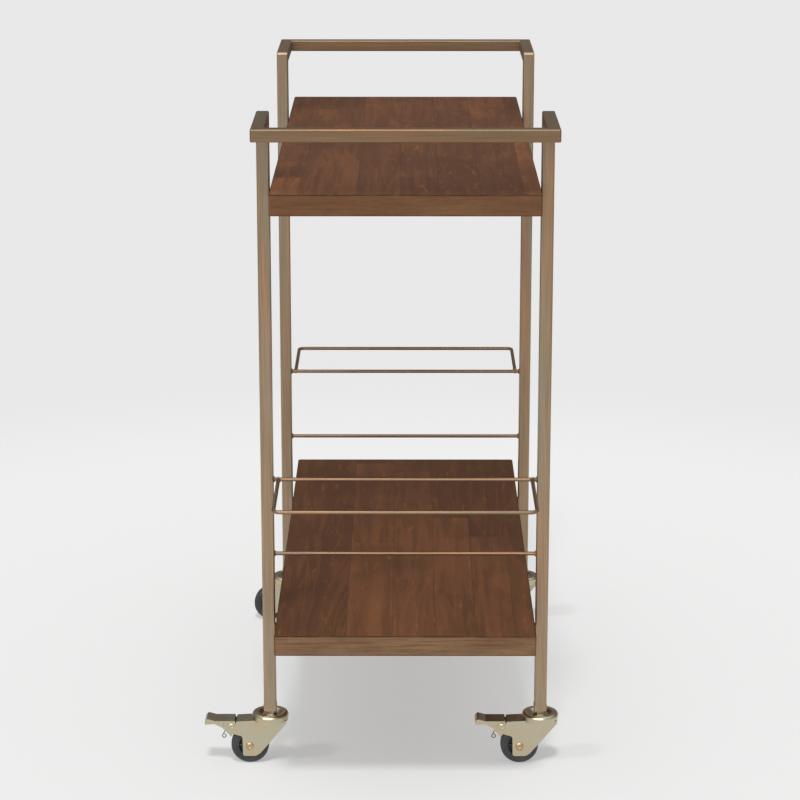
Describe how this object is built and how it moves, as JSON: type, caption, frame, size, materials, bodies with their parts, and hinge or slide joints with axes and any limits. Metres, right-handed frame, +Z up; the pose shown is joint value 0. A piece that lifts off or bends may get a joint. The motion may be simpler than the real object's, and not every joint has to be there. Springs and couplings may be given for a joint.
{
  "type": "bar cart",
  "caption": "Rolling serving cart with two wooden shelves in a square-tube metal frame, a push handle and guard rod at each end, on four swivel casters.",
  "frame": {"origin": "on the floor, midway between the four legs", "axes": "+Z up, +Y along the cart from its front handle to its rear handle, +X across it to the right"},
  "size_m": [0.4649, 0.845, 0.864],
  "materials": {
    "bronze_frame": "satin antique bronze finish on square steel tube",
    "walnut": "dark walnut stain with a satin lacquer",
    "zinc": "bright zinc plating",
    "yellow_zinc": "yellow passivated zinc",
    "steel": "plain bright steel",
    "tyre_rubber": "satin black",
    "hub_plastic": "moulded black"
  },
  "bodies": {
    "frame": {"front_left_leg": "bronze_frame", "front_right_leg": "bronze_frame", "front_handle": "bronze_frame", "front_upper_rail": "bronze_frame", "front_lower_rail": "bronze_frame", "front_upper_rod": "bronze_frame", "front_lower_rod": "bronze_frame", "front_guard_rod": "bronze_frame", "rear_left_leg": "bronze_frame", "rear_right_leg": "bronze_frame", "rear_handle": "bronze_frame", "rear_upper_rail": "bronze_frame", "rear_lower_rail": "bronze_frame", "rear_upper_rod": "bronze_frame", "rear_lower_rod": "bronze_frame", "rear_guard_rod": "bronze_frame", "upper_shelf": "walnut", "lower_shelf": "walnut", "shelf_screws": "steel", "leg_inserts": "bronze_frame", "caster_stems": "steel", "stem_nuts": "steel", "front_left_race_dish": "zinc", "front_right_race_dish": "zinc", "rear_left_race_dish": "zinc", "rear_right_race_dish": "zinc"},
    "front_left_swivel": {"front_left_bearing_balls": "steel", "front_left_fork": "zinc", "front_left_axle_rivet": "yellow_zinc", "front_left_brake_pivot_pin": "zinc", "front_left_brake_spring": "steel"},
    "front_left_wheel": {"front_left_tyre": "tyre_rubber", "front_left_wheel_hub": "hub_plastic"},
    "front_left_pedal": {"front_left_brake_pedal": "zinc"},
    "front_right_swivel": {"front_right_bearing_balls": "steel", "front_right_fork": "zinc", "front_right_axle_rivet": "yellow_zinc", "front_right_brake_pivot_pin": "zinc", "front_right_brake_spring": "steel"},
    "front_right_wheel": {"front_right_tyre": "tyre_rubber", "front_right_wheel_hub": "hub_plastic"},
    "front_right_pedal": {"front_right_brake_pedal": "zinc"},
    "rear_left_swivel": {"rear_left_bearing_balls": "steel", "rear_left_fork": "zinc", "rear_left_axle_rivet": "yellow_zinc"},
    "rear_left_wheel": {"rear_left_tyre": "tyre_rubber", "rear_left_wheel_hub": "hub_plastic"},
    "rear_right_swivel": {"rear_right_bearing_balls": "steel", "rear_right_fork": "zinc", "rear_right_axle_rivet": "yellow_zinc"},
    "rear_right_wheel": {"rear_right_tyre": "tyre_rubber", "rear_right_wheel_hub": "hub_plastic"}
  },
  "joints": [
    {"name": "front_left_swivel_turn", "type": "hinge", "parent": "frame", "child": "front_left_swivel", "pos_m": [-0.1775, -0.279, 0.06], "axis": [0, 0, 1], "continuous": true},
    {"name": "front_left_wheel_spin", "type": "hinge", "parent": "front_left_swivel", "child": "front_left_wheel", "pos_m": [-0.2045, -0.279, 0.025], "axis": [0, 1, 0], "continuous": true},
    {"name": "front_left_brake_press", "type": "hinge", "parent": "front_left_swivel", "child": "front_left_pedal", "pos_m": [-0.2278, -0.279, 0.0525], "axis": [0, -1, 0], "range_deg": [0, 12]},
    {"name": "front_right_swivel_turn", "type": "hinge", "parent": "frame", "child": "front_right_swivel", "pos_m": [0.1775, -0.279, 0.06], "axis": [0, 0, 1], "continuous": true},
    {"name": "front_right_wheel_spin", "type": "hinge", "parent": "front_right_swivel", "child": "front_right_wheel", "pos_m": [0.1505, -0.279, 0.025], "axis": [0, 1, 0], "continuous": true},
    {"name": "front_right_brake_press", "type": "hinge", "parent": "front_right_swivel", "child": "front_right_pedal", "pos_m": [0.1272, -0.279, 0.0525], "axis": [0, -1, 0], "range_deg": [0, 12]},
    {"name": "rear_left_swivel_turn", "type": "hinge", "parent": "frame", "child": "rear_left_swivel", "pos_m": [-0.1775, 0.279, 0.06], "axis": [0, 0, 1], "continuous": true},
    {"name": "rear_left_wheel_spin", "type": "hinge", "parent": "rear_left_swivel", "child": "rear_left_wheel", "pos_m": [-0.2045, 0.279, 0.025], "axis": [0, 1, 0], "continuous": true},
    {"name": "rear_right_swivel_turn", "type": "hinge", "parent": "frame", "child": "rear_right_swivel", "pos_m": [0.1775, 0.279, 0.06], "axis": [0, 0, 1], "continuous": true},
    {"name": "rear_right_wheel_spin", "type": "hinge", "parent": "rear_right_swivel", "child": "rear_right_wheel", "pos_m": [0.1505, 0.279, 0.025], "axis": [0, 1, 0], "continuous": true}
  ]
}
